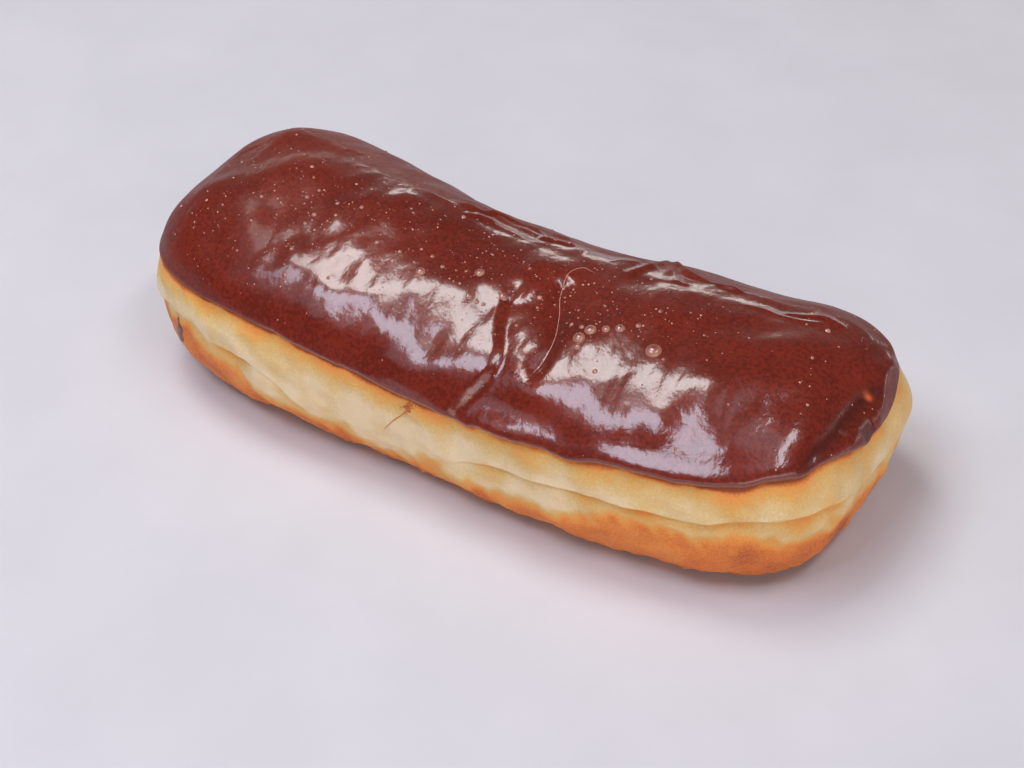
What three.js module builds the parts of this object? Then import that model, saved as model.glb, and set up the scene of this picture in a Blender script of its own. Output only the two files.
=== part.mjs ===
// A long john: a bar of fried yeast dough with a coat of chocolate icing set over its top.
// Millimetres, +Z up. The bar lies along X and rests on its flat underside at Z = 0, with the
// origin under the middle of its box. The front is the -Y side, and the left end is the -X end.

import * as THREE from "three";

// Driving dimensions of the dough
const LENGTH = 172;
const WIDTH = 68; // of the plain outline, before the waist
const HEIGHT = 43; // of the crown, before its taper and dip
const WIDEST_LEVEL = 18.1; // height at which the sides bulge out furthest
const LEFT_SQUARENESS = 4.3; // superellipse exponents, where 2 is an ellipse
const RIGHT_SQUARENESS = 3.9;
const CROWN_SQUARENESS = 2.24;
const BELLY_SQUARENESS = 2.13;
const BASE_SHARE = 0.615; // flat underside as a share of the section's reach
const WAIST = 0.085; // share of the half width taken in at mid length
const BOW = 8.2; // how far the ends lie behind the middle
const CROWN_TAPER = 0.061; // share of the height lost from the middle to the +X end
const CROWN_DIP = 0.048; // share of the height lost at mid length
const CROWN_DIP_REACH = 0.63; // of the half length
const LUMP_HEIGHT = 0.35;
const LUMP_SPAN = 11; // length over which the wave of the lumps turns by one radian
const SMALL_LUMP_SPAN = 4.8;

// The crease that runs round the sides between the two fried halves, and the icing's edge above it.
// Levels and depths are given at equal steps round the bar, anticlockwise from the +X end.
const CREASE_LEVELS = [
  17.4, 17, 18.6, 19.6, 19, 18, 18.8, 19.8, 20, 19.2, 18.4, 18.8, 20.4, 18, 9.5, 12, 17.6, 19.8, 21.2, 22,
];
const CREASE_DEPTHS = [
  0.8, 0.4, 1, 1.4, 0.9, 0.3, 0.8, 1.3, 1.3, 1, 0.8, 0.9, 1, 1.1, 0.3, 0, 0.7, 1.3, 1.5, 1.4,
];
const EDGE_LEVELS = [
  27.2, 31.8, 31.4, 30.2, 28.8, 28.4, 29.4, 30.6, 31, 31, 30.6, 29.4, 30, 30.4, 27.3, 25.4, 26, 27, 29.2, 31,
];
const CREASE_MOUTH = 1; // height of the step from the crease's floor to its lip
const CREASE_RECOVERY = 3.5; // distance over which the dough comes out again below the crease
const LIP_SHARE = 0.3; // how far the lip stands out, as a share of the crease's depth
const LIP_REACH = 5;
const BASE_BLEND = 5; // stretch above the flat underside where the relief sets in

// Driving dimensions of the icing
const ICING_GAP = 0.3; // clearance to the dough
const COAT = 1.3;
const BEAD = 0.5; // extra thickness along the edge
const BEAD_REACH = 2.5;
const EDGE_DROP = 0.5; // how far the bead hangs below the edge's level

// Folds in the icing, as lines in plan: rise is negative for a valley
const FOLDS = [
  { path: [[8, -4], [10, -12], [13, -20.5], [15, -28], [11, -34]], rise: -0.8, halfWidth: 2.6 },
  { path: [[14, 2], [15.5, -6], [18.5, -11], [21, -17], [22.5, -24], [22, -31]], rise: -0.7, halfWidth: 2.2 },
  { path: [[11.5, -8], [14.5, -14], [17.5, -21], [19, -28]], rise: 0.5, halfWidth: 2 },
  { path: [[25, 8], [27, 14], [28.5, 21], [35, 17], [42, 17.2], [52, 15.5]], rise: 0.7, halfWidth: 2 },
  { path: [[-20, 11.5], [-9, 12], [3, 10.5], [14, 15]], rise: 0.4, halfWidth: 2.4 },
  { path: [[78, -10], [80, -3], [80, 5]], rise: -0.9, halfWidth: 2 },
  { path: [[80, 12], [81.5, 9], [83.5, 7]], rise: 0.6, halfWidth: 2 },
  { path: [[81, 17], [83, 14], [85, 11]], rise: -0.7, halfWidth: 2 },
];
const FOLD_SAMPLES = 40;

// A dab of icing on the left end, under the crease
const DAB = { fraction: 0.5965, level: 15.2, halfWidth: 1.3, halfHeight: 3.2, thickness: 0.6, rim: 0.15 };

// Fineness of the surfaces
const STATIONS = 100; // steps round the outline, an even number
const BELLY_RINGS = 5;
const SIDE_RINGS = 5;
const COVERED_RINGS = 7;
const COAT_RINGS = 17;
const LAST_RING_SHARE = 0.93; // place of the last ring, as a share of the way up to the spine
const ARC_STEPS = 2000;
const SECTION_STEPS = 400;
const LEVEL_STEPS = 30;
const DAB_SIDES = 14;
const DAB_RINGS = 3;

const HALF_LENGTH = LENGTH / 2;
const HALF_WIDTH = WIDTH / 2;
const SPINE_HALF = HALF_LENGTH - 0.95 * HALF_WIDTH;

// Plan outline, anticlockwise from the +X end
class PlanOutline extends THREE.Curve {
  getPoint(t, target = new THREE.Vector2()) {
    const cosine = Math.cos(2 * Math.PI * t);
    const sine = Math.sin(2 * Math.PI * t);
    const squareness = cosine < 0 ? LEFT_SQUARENESS : RIGHT_SQUARENESS;
    const meanSquareness = (LEFT_SQUARENESS + RIGHT_SQUARENESS) / 2;
    const along = Math.sign(cosine) * Math.abs(cosine) ** (2 / squareness);
    const across = Math.sign(sine) * Math.abs(sine) ** (2 / meanSquareness);
    const waist = 1 - WAIST * Math.cos(Math.PI * along);
    return target.set(HALF_LENGTH * along, HALF_WIDTH * across * waist);
  }
}

// Half section from the rim of the flat underside up to the crown: x is the distance out from
// the spine and y the height
class HalfSection extends THREE.Curve {
  constructor(reach, crown) {
    super();
    this.reach = reach;
    this.crown = crown;
    this.arcLengthDivisions = SECTION_STEPS;
  }

  getPoint(t, target = new THREE.Vector2()) {
    const angle = Math.PI * (t - 0.5);
    const out = Math.cos(angle);
    const up = Math.abs(Math.sin(angle));
    if (angle < 0) {
      const share = BASE_SHARE + (1 - BASE_SHARE) * out ** (2 / BELLY_SQUARENESS);
      return target.set(this.reach * share, WIDEST_LEVEL * (1 - up ** (2 / BELLY_SQUARENESS)));
    }
    const rise = (this.crown - WIDEST_LEVEL) * up ** (2 / CROWN_SQUARENESS);
    return target.set(this.reach * out ** (2 / CROWN_SQUARENESS), WIDEST_LEVEL + rise);
  }

  // Distance along the section at which it reaches a level
  distanceAt(level) {
    let low = 0;
    let high = 1;
    for (let step = 0; step < LEVEL_STEPS; step += 1) {
      const middle = (low + high) / 2;
      if (this.getPointAt(middle).y < level) low = middle;
      else high = middle;
    }
    return low * this.getLength();
  }
}

// A smooth closed run of values given at equal steps round the bar
function roundTheBar(values) {
  const points = values.map((value) => new THREE.Vector3(value, 0, 0));
  const curve = new THREE.CatmullRomCurve3(points, true, "catmullrom");
  return (fraction) => curve.getPoint(fraction).x;
}

const creaseLevel = roundTheBar(CREASE_LEVELS);
const creaseDepth = roundTheBar(CREASE_DEPTHS);
const edgeLevel = roundTheBar(EDGE_LEVELS);

function crownHeight(x) {
  const along = x / HALF_LENGTH;
  const dip = CROWN_DIP * Math.exp(-((along / CROWN_DIP_REACH) ** 2));
  return HEIGHT * (1 - CROWN_TAPER * along - dip);
}

function bowAt(x) {
  return BOW * ((x / HALF_LENGTH) ** 2 - 0.5);
}

// One place round the outline, with its half section and the levels that the section passes
function makeStation(outlinePoint, fraction) {
  const spineX = THREE.MathUtils.clamp(outlinePoint.x, -SPINE_HALF, SPINE_HALF);
  const outward = new THREE.Vector2(outlinePoint.x - spineX, outlinePoint.y);
  const section = new HalfSection(outward.length(), crownHeight(spineX));
  return {
    spineX,
    outward: outward.normalize(),
    section,
    length: section.getLength(),
    crease: section.distanceAt(creaseLevel(fraction)),
    creaseDepth: Math.max(0, creaseDepth(fraction)),
    edge: section.distanceAt(edgeLevel(fraction)),
  };
}

const outline = new PlanOutline();
outline.arcLengthDivisions = ARC_STEPS;

// The +Y half of the outline is mirrored, so that stations face each other in pairs
function stationAt(index) {
  const mirrored = index > STATIONS / 2;
  const point = outline.getPointAt((mirrored ? STATIONS - index : index) / STATIONS);
  if (mirrored) point.y = -point.y;
  return makeStation(point, index / STATIONS);
}

const stations = Array.from({ length: STATIONS }, (_, index) => stationAt(index));

// A point of the smooth bar at a distance along a station's section, raised by an offset
function smoothPoint(station, distance, offset) {
  const share = THREE.MathUtils.clamp(distance / station.length, 0, 1);
  const point = station.section.getPointAt(share);
  const tangent = station.section.getTangentAt(share);
  const out = point.x + offset * tangent.y;
  const x = station.spineX + station.outward.x * out;
  return new THREE.Vector3(x, station.outward.y * out + bowAt(x), point.y - offset * tangent.x);
}

function lumpsAt(point) {
  const broad = Math.sin(point.x / LUMP_SPAN + point.z / LUMP_SPAN) * Math.cos(point.y / LUMP_SPAN);
  const narrow = Math.sin((point.x - point.y) / SMALL_LUMP_SPAN) / 2;
  return LUMP_HEIGHT * (broad + narrow);
}

function creaseRelief(station, distance) {
  const below = station.crease - distance;
  if (below > 0) return -station.creaseDepth * Math.exp(-below / CREASE_RECOVERY);
  return LIP_SHARE * station.creaseDepth * Math.exp(below / LIP_REACH);
}

function doughPoint(station, distance, offset = 0) {
  const lumps = lumpsAt(smoothPoint(station, distance, 0));
  const settled = THREE.MathUtils.smoothstep(distance, 0, BASE_BLEND);
  return smoothPoint(station, distance, offset + settled * (lumps + creaseRelief(station, distance)));
}

const folds = FOLDS.map((fold) => {
  const corners = fold.path.map(([x, y]) => new THREE.Vector2(x, y));
  return { ...fold, samples: new THREE.SplineCurve(corners).getPoints(FOLD_SAMPLES) };
});

function foldRelief(point) {
  const place = new THREE.Vector2(point.x, point.y);
  return folds.reduce((total, fold) => {
    const away = Math.min(...fold.samples.map((sample) => sample.distanceTo(place)));
    return total + fold.rise * Math.exp(-((away / fold.halfWidth) ** 2));
  }, 0);
}

// A point of the icing's outer face
function coatPoint(station, distance) {
  const bead = BEAD * Math.exp(-(((distance - station.edge) / BEAD_REACH) ** 2));
  const relief = foldRelief(smoothPoint(station, distance, 0));
  return doughPoint(station, distance, ICING_GAP + COAT + bead + relief);
}

// Evenly spaced distances after the first end, up to and including the last
function spacedAfter(from, to, count) {
  return Array.from({ length: count }, (_, step) => from + ((to - from) * (step + 1)) / count);
}

// Cap places along the spine: stations beyond a spine end share that end's place
const spineOfHalf = [0];
for (let index = 1; index <= STATIONS / 2; index += 1) {
  const moved = stations[index].spineX !== stations[index - 1].spineX;
  spineOfHalf.push(spineOfHalf[index - 1] + (moved ? 1 : 0));
}
const spineIndex = (index) => spineOfHalf[Math.min(index, STATIONS - index)];

// Points over the spine, made by a function of a station there
function spinePoints(make) {
  const points = [];
  for (let index = 0; index <= STATIONS / 2; index += 1) points[spineIndex(index)] = make(stations[index]);
  return points;
}

// A closed solid through rings of equal count, anticlockwise seen from outside the last cap.
// Each ring position meets one cap point, given by capIndex.
function loftedSolid(rings, firstCap, lastCap, capIndex) {
  const sides = rings[0].length;
  const corners = [...rings.flat(), ...firstCap, ...lastCap];
  const firstStart = rings.length * sides;
  const lastStart = firstStart + firstCap.length;
  const lastRing = (rings.length - 1) * sides;
  const triangles = [];
  for (let side = 0; side < sides; side += 1) {
    const next = (side + 1) % sides;
    for (let ring = 0; ring < rings.length - 1; ring += 1) {
      const low = ring * sides;
      const high = low + sides;
      triangles.push([low + side, low + next, high + next], [low + side, high + next, high + side]);
    }
    const cap = capIndex(side);
    const nextCap = capIndex(next);
    triangles.push([next, side, firstStart + nextCap]);
    triangles.push([lastRing + side, lastRing + next, lastStart + nextCap]);
    if (cap === nextCap) continue;
    triangles.push([side, firstStart + cap, firstStart + nextCap]);
    triangles.push([lastRing + side, lastStart + nextCap, lastStart + cap]);
  }
  const geometry = new THREE.BufferGeometry().setFromPoints(corners);
  geometry.setIndex(triangles.flat());
  geometry.computeVertexNormals();
  return geometry;
}

// A ring of points, at a distance that a function gives for each station
function ringOf(distanceOf, pointOf) {
  return stations.map((station) => pointOf(station, distanceOf(station)));
}

// Rings from the icing's edge to near the spine
function coveredRings(count, pointOf) {
  return spacedAfter(0, 1, count).map((share) =>
    ringOf((station) => THREE.MathUtils.lerp(station.edge, LAST_RING_SHARE * station.length, share), pointOf),
  );
}

function doughGeometry() {
  const point = (station, distance) => doughPoint(station, distance);
  const floor = (station) => station.crease - CREASE_MOUTH / 2;
  const lip = (station) => station.crease + CREASE_MOUTH / 2;
  const rings = [
    ringOf(() => 0, point),
    ...spacedAfter(0, 1, BELLY_RINGS).map((share) => ringOf((station) => share * floor(station), point)),
    ringOf(lip, point),
    ...spacedAfter(0, 1, SIDE_RINGS).map((share) =>
      ringOf((station) => THREE.MathUtils.lerp(lip(station), station.edge, share), point),
    ),
    ...coveredRings(COVERED_RINGS, point),
  ];
  const underside = spinePoints((station) => new THREE.Vector3(station.spineX, bowAt(station.spineX), 0));
  const crown = spinePoints((station) => doughPoint(station, station.length));
  return loftedSolid(rings, underside, crown, spineIndex);
}

function icingGeometry() {
  const lining = (station, distance) => doughPoint(station, distance, ICING_GAP);
  const droop = (station, distance) => doughPoint(station, distance, ICING_GAP + (COAT + BEAD) / 2);
  const rings = [
    ...coveredRings(COVERED_RINGS, lining).reverse(),
    ringOf((station) => station.edge, lining),
    ringOf((station) => station.edge - EDGE_DROP, droop),
    ringOf((station) => station.edge, coatPoint),
    ...coveredRings(COAT_RINGS, coatPoint),
  ];
  const inside = spinePoints((station) => lining(station, station.length));
  const outside = spinePoints((station) => coatPoint(station, station.length));
  return loftedSolid(rings, inside, outside, spineIndex);
}

function dabGeometry() {
  const perimeter = outline.getLength();
  const middle = makeStation(outline.getPointAt(DAB.fraction), DAB.fraction);
  const level = middle.section.distanceAt(DAB.level);
  const ring = (share, offset) =>
    Array.from({ length: DAB_SIDES }, (_, side) => {
      const angle = (2 * Math.PI * side) / DAB_SIDES;
      const fraction = DAB.fraction + (share * DAB.halfWidth * Math.cos(angle)) / perimeter;
      const station = makeStation(outline.getPointAt(fraction), fraction);
      return doughPoint(station, level + share * DAB.halfHeight * Math.sin(angle), offset);
    });
  const dome = (share) => ICING_GAP + DAB.rim + DAB.thickness * (1 - share ** 2);
  const shares = spacedAfter(0, 1, DAB_RINGS);
  const rings = [
    ...shares.map((share) => ring(share, ICING_GAP)),
    ...shares.map((share) => ring(share, dome(share))).reverse(),
  ];
  const inside = [doughPoint(middle, level, ICING_GAP)];
  const outside = [doughPoint(middle, level, dome(0))];
  return loftedSolid(rings, inside, outside, () => 0);
}

function makeMesh(name, geometry, color, roughness) {
  const material = new THREE.MeshStandardMaterial({ color, roughness, metalness: 0 });
  const mesh = new THREE.Mesh(geometry, material);
  mesh.name = name;
  return mesh;
}

const bar = new THREE.Group();
bar.add(makeMesh("dough", doughGeometry(), 0xdcb778, 0.75));
bar.add(makeMesh("icing", icingGeometry(), 0x5e241c, 0.2));
bar.add(makeMesh("icing_dab", dabGeometry(), 0x5e3a38, 0.4));

const box = new THREE.Box3().setFromObject(bar);
const centre = box.getCenter(new THREE.Vector3());
bar.position.set(-centre.x, -centre.y, 0);

const longJohn = new THREE.Group();
longJohn.add(bar);

export default longJohn;
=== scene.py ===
"""Looks of a chocolate-iced long john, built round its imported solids.

Shapes are worked out in millimetres on a bar of the solids' proportions and then set into the packed
dough's box. The front is the -Y side, and places round the bar are fractions, anticlockwise from +X.
"""
import math

import bpy
import numpy as np
from mathutils import Matrix, Vector
from mathutils.bvhtree import BVHTree


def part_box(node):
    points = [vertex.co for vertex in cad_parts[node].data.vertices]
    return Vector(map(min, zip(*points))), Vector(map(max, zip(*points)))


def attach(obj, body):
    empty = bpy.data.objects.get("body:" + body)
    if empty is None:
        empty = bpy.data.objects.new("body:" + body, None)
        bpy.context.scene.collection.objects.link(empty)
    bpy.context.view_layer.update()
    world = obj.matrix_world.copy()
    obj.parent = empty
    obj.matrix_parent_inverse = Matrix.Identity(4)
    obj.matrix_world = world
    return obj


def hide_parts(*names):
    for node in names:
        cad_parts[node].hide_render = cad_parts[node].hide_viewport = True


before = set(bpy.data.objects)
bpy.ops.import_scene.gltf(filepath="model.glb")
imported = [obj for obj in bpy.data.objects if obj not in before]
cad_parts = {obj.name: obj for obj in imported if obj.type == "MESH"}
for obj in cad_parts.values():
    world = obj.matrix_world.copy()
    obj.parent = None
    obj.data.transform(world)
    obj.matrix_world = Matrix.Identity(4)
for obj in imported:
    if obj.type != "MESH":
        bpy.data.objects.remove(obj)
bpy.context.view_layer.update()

MM = 0.001

# Shape of the dough, as in the solids
LENGTH = 172.0
WIDTH = 68.0
HEIGHT = 43.0
WIDEST_LEVEL = 18.1
LEFT_SQUARENESS = 4.3
RIGHT_SQUARENESS = 3.9
CROWN_SQUARENESS = 2.24
BELLY_SQUARENESS = 2.13
BASE_SHARE = 0.615
LEFT_BASE_SHARE = 0.72
WAIST = 0.085
BOW = 8.2
CROWN_TAPER = 0.061
CROWN_DIP = 0.048
CROWN_DIP_REACH = 0.63
LUMP_HEIGHT = 0.35
LUMP_SPAN = 11.0
SMALL_LUMP_SPAN = 4.8
SPINE_INSET = 0.95  # from either end, in half widths
HALF_LENGTH = LENGTH / 2
HALF_WIDTH = WIDTH / 2
SPINE_HALF = HALF_LENGTH - SPINE_INSET * HALF_WIDTH

# Levels and depths at equal steps round the bar
CREASE_LEVELS = [17.4, 17, 18.6, 19.6, 19, 18, 18.8, 19.8, 20, 19.2,
                 18.4, 18.8, 20.4, 18, 9.5, 12, 17.6, 19.8, 21.2, 22]
CREASE_DEPTHS = [0.6, 0.4, 1, 1.4, 0.9, 0.3, 0.8, 1.3, 1.3, 1,
                 0.8, 0.9, 0.9, 0.9, 0.3, 0, 0.7, 1.1, 1.1, 0.8]
EDGE_LEVELS = [27.2, 30.9, 31.2, 30.2, 28.8, 28.4, 29.4, 30.6, 31, 30.6,
               29.6, 28, 28.8, 29.1, 27, 25.2, 25.9, 27.7, 28.5, 30.3]
BEAD_HEIGHTS = [0.3, 0.3, 0.3, 0.3, 0.3, 0.3, 0.3, 0.3, 0.1, -0.3,
                -0.6, -0.6, -0.5, -0.2, 0.1, 0.2, 0.6, 0.6, 0.7, 0.4]
BROWN_LEVELS = [15, 13.5, 12, 11, 10, 10, 10, 11, 12, 14,
                17, 19, 18.5, 13.5, 9, 8, 10.5, 16, 17.5, 16.5]
RIM_BROWNING = [0.6, 0.6, 0.6, 0.6, 0.6, 0.6, 0.6, 0.6, 0.6, 0.65,
                0.7, 0.75, 0.8, 0.95, 1, 0.9, 0.65, 0.75, 0.85, 0.7]
CREASE_MOUTH = 0.7  # height of the step at the crease
CREASE_RECOVERY = 3.5  # reach of the hollow below it
LIP_SHARE = 0.3  # rise of the lip above it, as a share of its depth
LIP_REACH = 5.0
BASE_BLEND = 5.0  # stretch over which the relief sets in at the underside

# Swells of the dough: fraction, level, rise, half length and half height
DOUGH_SWELLS = [
    (0.782, 7.0, 1.7, 20.0, 8.0),
    (0.648, 7.0, 0.9, 9.0, 7.0),
    (0.955, 12.0, -1.1, 16.0, 9.0),
]

# Random relief: how many waves it adds up, and their lengths in spans
RIPPLE_WAVES = 28
RIPPLE_LENGTHS = (0.7, 1.4)
# Its uses: height, span and seed. Round the bar, spans are on a circle of radius 1
CREASE_WANDER = [(0.3, 0.2, 3), (0.08, 0.06, 4)]
CREASE_UNEVENNESS = [(0.35, 0.13, 7)]
EDGE_WANDER = [(0.13, 0.16, 5), (0.05, 0.05, 6)]
BROWN_WANDER = [(1.3, 14, 21), (0.6, 4, 22)]
RIM_UNEVENNESS = [(0.2, 9, 23)]
BROWN_MOTTLE = [(0.05, 11, 24)]
SKIN_LUMPS = [(0.24, 13, 31), (0.11, 5, 34)]
SKIN_WRINKLES = [(0.03, 2.6, 32)]
SKIN_CRUMBS = [(0.17, 1.9, 33)]
ICING_WAVES = [(0.32, 26, 929), (0.13, 12, 3101)]
ICING_RIPPLES = [(0.065, 6, 1068), (0.022, 3.2, 3434)]
ICING_CRINKLES = [(1.0, 9, 51)]
DAB_WAVES = [(0.16, 2.2, 91)]
# Squeeze of places along X, Y and Z, which draws waves out
WRINKLE_SQUEEZE = (0.35, 0.5, 1.0)
RIPPLE_SQUEEZE = (1.0, 0.5, 0.6)
CRINKLE_SQUEEZE = (0.45, 1, 1)

# Browning of the dough, from 0, pale, to 1, with painted shade added near the floor and below the
# crease
CRUST_TONE = 0.72
CRUST_FADE = (3.5, -4.5)  # heights over its level between which the crust turns brown
# Darker towards the floor: partly browned crust, partly painted shade
LOW_BROWN_AND_SHADE_TONE = 0.2
LOW_BROWN_AND_SHADE_LEVEL = 6.0
RIM_TONE = 1.25
RIM_WIDTH = 1.2
OCHRE_TONE = 0.42
OCHRE_WIDTH = 4.5
# Golden colour below the crease, and painted shade in its hollow, stronger where the crease is deeper
CREASE_GOLD_AND_SHADE_TONE = 0.25
HOLLOW_REACH = 4.0
HOLLOW_LIP = 0.3
GOLDEN_TONE = 0.12
GOLDEN_STRETCH = (60, 74)  # along X
UNDERSIDE_TONE = 0.85
COVERED_TONE = 0.4

# Roughness of the dough's skin
ROUGH_LEVELS = (9, 2)  # levels between which it turns rough
ROUGH_BLEND = 4.0
SKIN_BLEND = 2.0

# Icing
COAT = 1.6  # height of its outer face over the dough
EDGE_ROUND = 1.1  # stretch over which the coat rounds off at its edge
EDGE_SINK = 0.15  # how far its inner face sits in the dough
EDGE_BLEND = 1.8  # stretch over which its waves and folds set in
EDGE_SHEEN_REACH = 0.4  # stretch over which the painted reflection along its edge fades out
FILM = 0.4  # thinnest icing in the folds
FILM_SOFTNESS = 0.15  # how softly the folds bottom out there
RIPPLE_BLEND = (3, 11)  # distances past the edge between which the ripples set in
CALM_STRETCH = (80, 62)  # along X, where the waves die down
CRINKLE_HEIGHT = 0.2
CRINKLE_FRONT = (8, 13)  # across the bar, where the crinkles set in and where they end
CRINKLE_BACK = (26, 19)
CRINKLE_LEFT = (-40, -20)  # along X, where they set in
FOLD_ENDS = 0.15  # share of a fold's line over which it runs out
STEP_FADE = 6.0  # reach of a step, in half widths
GROOVE_ROUNDING = 0.1  # in square millimetres
BED = 1.2  # how far the dough under the icing is pressed in
BED_REACH = 5.0
BEAD_REACH = 2.4
# Drops along the edge: fraction round the bar, drop and half width
DRIPS = [(0.777, 0.7, 2.0), (0.831, 0.9, 4.5), (0.941, 0.6, 2.4), (0.985, 0.4, 1.6),
         (0.300, 0.9, 2.4), (0.160, 1.1, 2.0), (0.420, 0.8, 2.2)]
# Swells: fraction, height over the edge, rise, half length and half height
ICING_SWELLS = [
    (0.0, 6.0, 1.0, 17.0, 6.0),
    (0.796, 1.9, 1.5, 9.0, 3.2),
    (0.785, 5.0, -0.7, 8.0, 4.5),
    (0.765, 7.0, 0.3, 5.0, 4.0),
    (0.685, 14.0, 0.3, 9.0, 3.5),
    (0.688, 5.5, 0.65, 9.0, 4.0),
]
# Dullness of the icing, and where it fades in: along X at either end, and across the bar at the back
DULLING = 0.88
DULL_LEFT = (-30, -52)
DULL_RIGHT = [(0.4, 76, 80), (0.35, 81.5, 83.5)]
DULL_BACK = (15.5, 20)
DULL_BACK_SHIFT = 5.0
DULL_BACK_SHIFT_STRETCH = (0, -25)
# Place in plan of a painted orange glow, as of light shining through the icing there
GLOW_SPOT = (81.3, 4.8)
GLOW_REACH = 0.8
# Thin broken film in the fold, as a line in plan
CRACK = [
    (19, 4.4), (15.8, 4.6), (14.4, 0.8), (15.6, -4.5),
    (18.5, -10), (21, -16.1), (21.7, -21.5), (21, -25),
]
CRACK_RADIUS = 0.07
CRACK_STEPS = 90
# Bubbles in the icing: place in plan and radius
BIG_BUBBLES = [
    (41.7, -12.4, 1.7), (26.4, -15.7, 1.3), (27.1, -17.8, 0.8), (27.5, -12.9, 1.3),
    (30.4, -11.7, 0.9), (33, -10.5, 1.0), (25.3, -12.6, 0.6), (22.8, -12.4, 0.5),
    (35.9, -8.1, 0.6), (-12.7, -14.5, 1.1), (-1.7, -8.5, 1.1), (-0.2, -15.2, 0.8),
    (6.3, -11.8, 1.0), (1.9, -15.4, 0.5), (3.4, -15.3, 0.5), (4.5, -22.4, 0.6),
    (-9.4, -11, 0.5), (-13, -9.4, 0.45), (12.2, -16.7, 0.4), (-16.3, -8.6, 0.4),
    (-20, -11.4, 0.5), (-25.8, -11.4, 0.5), (-30.2, -23.7, 0.4), (-43.3, -10.2, 0.6),
    (-40.4, -5.4, 0.5), (-34.9, -4, 0.5), (-48, -6.3, 0.5), (-41.8, -20.8, 0.5),
]
BIG_BUBBLE_RISE = 0.6  # height of a bubble, as a share of its radius
BIG_BUBBLE_TONES = (0.05, 0.75)  # from its top to its rim
BIG_BUBBLE_MESH = (7, 22)  # rings and sides
SMALL_BUBBLES = 1100
SMALL_BUBBLE_RADIUS = 0.14
SMALL_BUBBLE_SCATTER = 0.5
SMALL_BUBBLE_RISE = 0.5
SMALL_BUBBLE_TONES = (0.2, 0.8)
SMALL_BUBBLE_MESH = (2, 7)
SMALL_BUBBLE_SLOPE = 0.5  # least upward part of the icing's normal that takes them
BUBBLE_SEED = 71
# Places in plan where small bubbles gather, with their spread, and how many lie elsewhere
BUBBLE_CLUSTERS = [
    (-44, -8, 11), (-22, -9, 8), (0, -12, 11), (-60, -18, 7),
    (-40, -20, 6), (8, 2, 10), (34, -6, 9),
]
BUBBLE_DENSITY = 0.2
FULL_DENSITY = 1.2
# Streak of syrup down the front, as fractions and levels, and the crumbs beside it
STREAK = [(0.7455, 25.4), (0.7420, 22.8), (0.7385, 20.6), (0.7335, 18.2), (0.7275, 14.6)]
STREAK_RADIUS = 0.16
STREAK_STEPS = 40
STREAK_TONES = (0.3, 1.1)
BLOB_STEP = 9  # step of the streak that the blob lies on
BLOB_RADIUS = 0.9
BLOB_HEIGHT = 0.2
BLOB_MESH = (5, 16)
BLOB_WOBBLE = 0.3
BLOB_TONE = 0.1
BLOB_SEED = 85
CRUMB_ARMS = [((0.7455, 25.2), (0.7395, 21.2)), ((0.7430, 23.8), (0.7372, 22.6))]
CRUMB_SCATTER = (0.0009, 0.4)
CRUMBS = 110
CRUMB_RADII = (0.07, 0.19)
CRUMB_RISE = 0.7
CRUMB_MESH = (2, 6)
CRUMB_WOBBLE = 0.35
CRUMB_SEED = 81
# Dab of icing on the left end: fraction, level, half width, half height and thickness
DAB = (0.5925, 15.2, 1.2, 3.2, 0.5)
DAB_MARGIN = 1.3  # reach of its patch, in half widths and half heights
DAB_STEPS = (33, 41)
DAB_SINK = 0.3

# Fineness
STATIONS = 900
SECTION_STEPS = 1200
OUTLINE_STEPS = 4001
BELLY_RINGS = 46
CREASE_RINGS = 14
SIDE_RINGS = 38
COVERED_RINGS = 8
BEAD_RINGS = 12
COAT_RINGS = 84
SPINE_CLEARANCE = 0.45
SAME_PLACE = 1e-6  # how near two places on the spine count as one
FOLD_STEPS = 60
NORMAL_STEP = 0.2
DOME_SINK = 0.15  # how far a dome's rim sinks in, as a share of its height
THREAD_SIDES = 6
THREAD_END = 0.1  # thinnest part of a thread, as a share of its radius

# Photograph's view
VIEW_AZIMUTH = 32.05
VIEW_ELEVATION = 40.2
VIEW_ROLL = -1.2
VIEW_TARGET = (-3.34, 7.70)
VIEW_DISTANCE = 426.8
LENS = 65.0
NEAR_CLIP = 0.01

# Floor and lights in metres and watts: name, direction, distance, size, power and colour
FLOOR_SIZE = 8.0
FLOOR_DROP = 0.1 * MM
SOFTBOXES = [
    ("key", (-0.342, 0.09, 0.935), 1.0, (0.28, 0.40), 3.4, (0.92, 1.0, 1.0)),
    ("key_rim", (-0.342, 0.09, 0.935), 1.05, (0.46, 0.60), 0.8, (0.95, 1.0, 0.98)),
    ("fill", (-0.25, -0.39, 0.89), 1.0, (0.58, 0.28), 4.8, (0.72, 0.83, 1.0)),
    ("left_fill", (-0.56, -0.44, 0.70), 1.0, (0.40, 0.36), 0.4, (0.72, 0.83, 1.0)),
    ("right_fill", (0.27, -0.10, 0.95), 1.0, (0.42, 0.36), 0.45, (0.76, 0.85, 1.0)),
    ("right_top", (0.42, 0.03, 0.905), 1.0, (0.52, 0.13), 2.2, (0.85, 0.92, 1.0)),
    ("side", (0.75, -0.58, 0.34), 2.5, (2.5, 1.5), 20.0, (1.0, 0.95, 0.91)),
    ("front", (0.40, -0.90, 0.13), 2.5, (3.67, 0.667), 14.7, (1.0, 0.95, 0.93)),
    ("back", (-0.40, 0.90, 0.09), 2.5, (3.12, 0.125), 6.1, (1.0, 0.97, 0.91)),
    ("right", (0.80, 0.58, 0.08), 2.4, (1.8, 0.32), 5.4, (1.0, 0.97, 0.95)),
]
STUDIO_COLOUR = (0.90, 0.92, 0.95, 1)
STUDIO_STRENGTH = 0.12


# Curves and random relief
def smoothstep(low, high, value):
    share = np.clip((value - low) / (high - low), 0, 1)
    return share * share * (3 - 2 * share)


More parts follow.
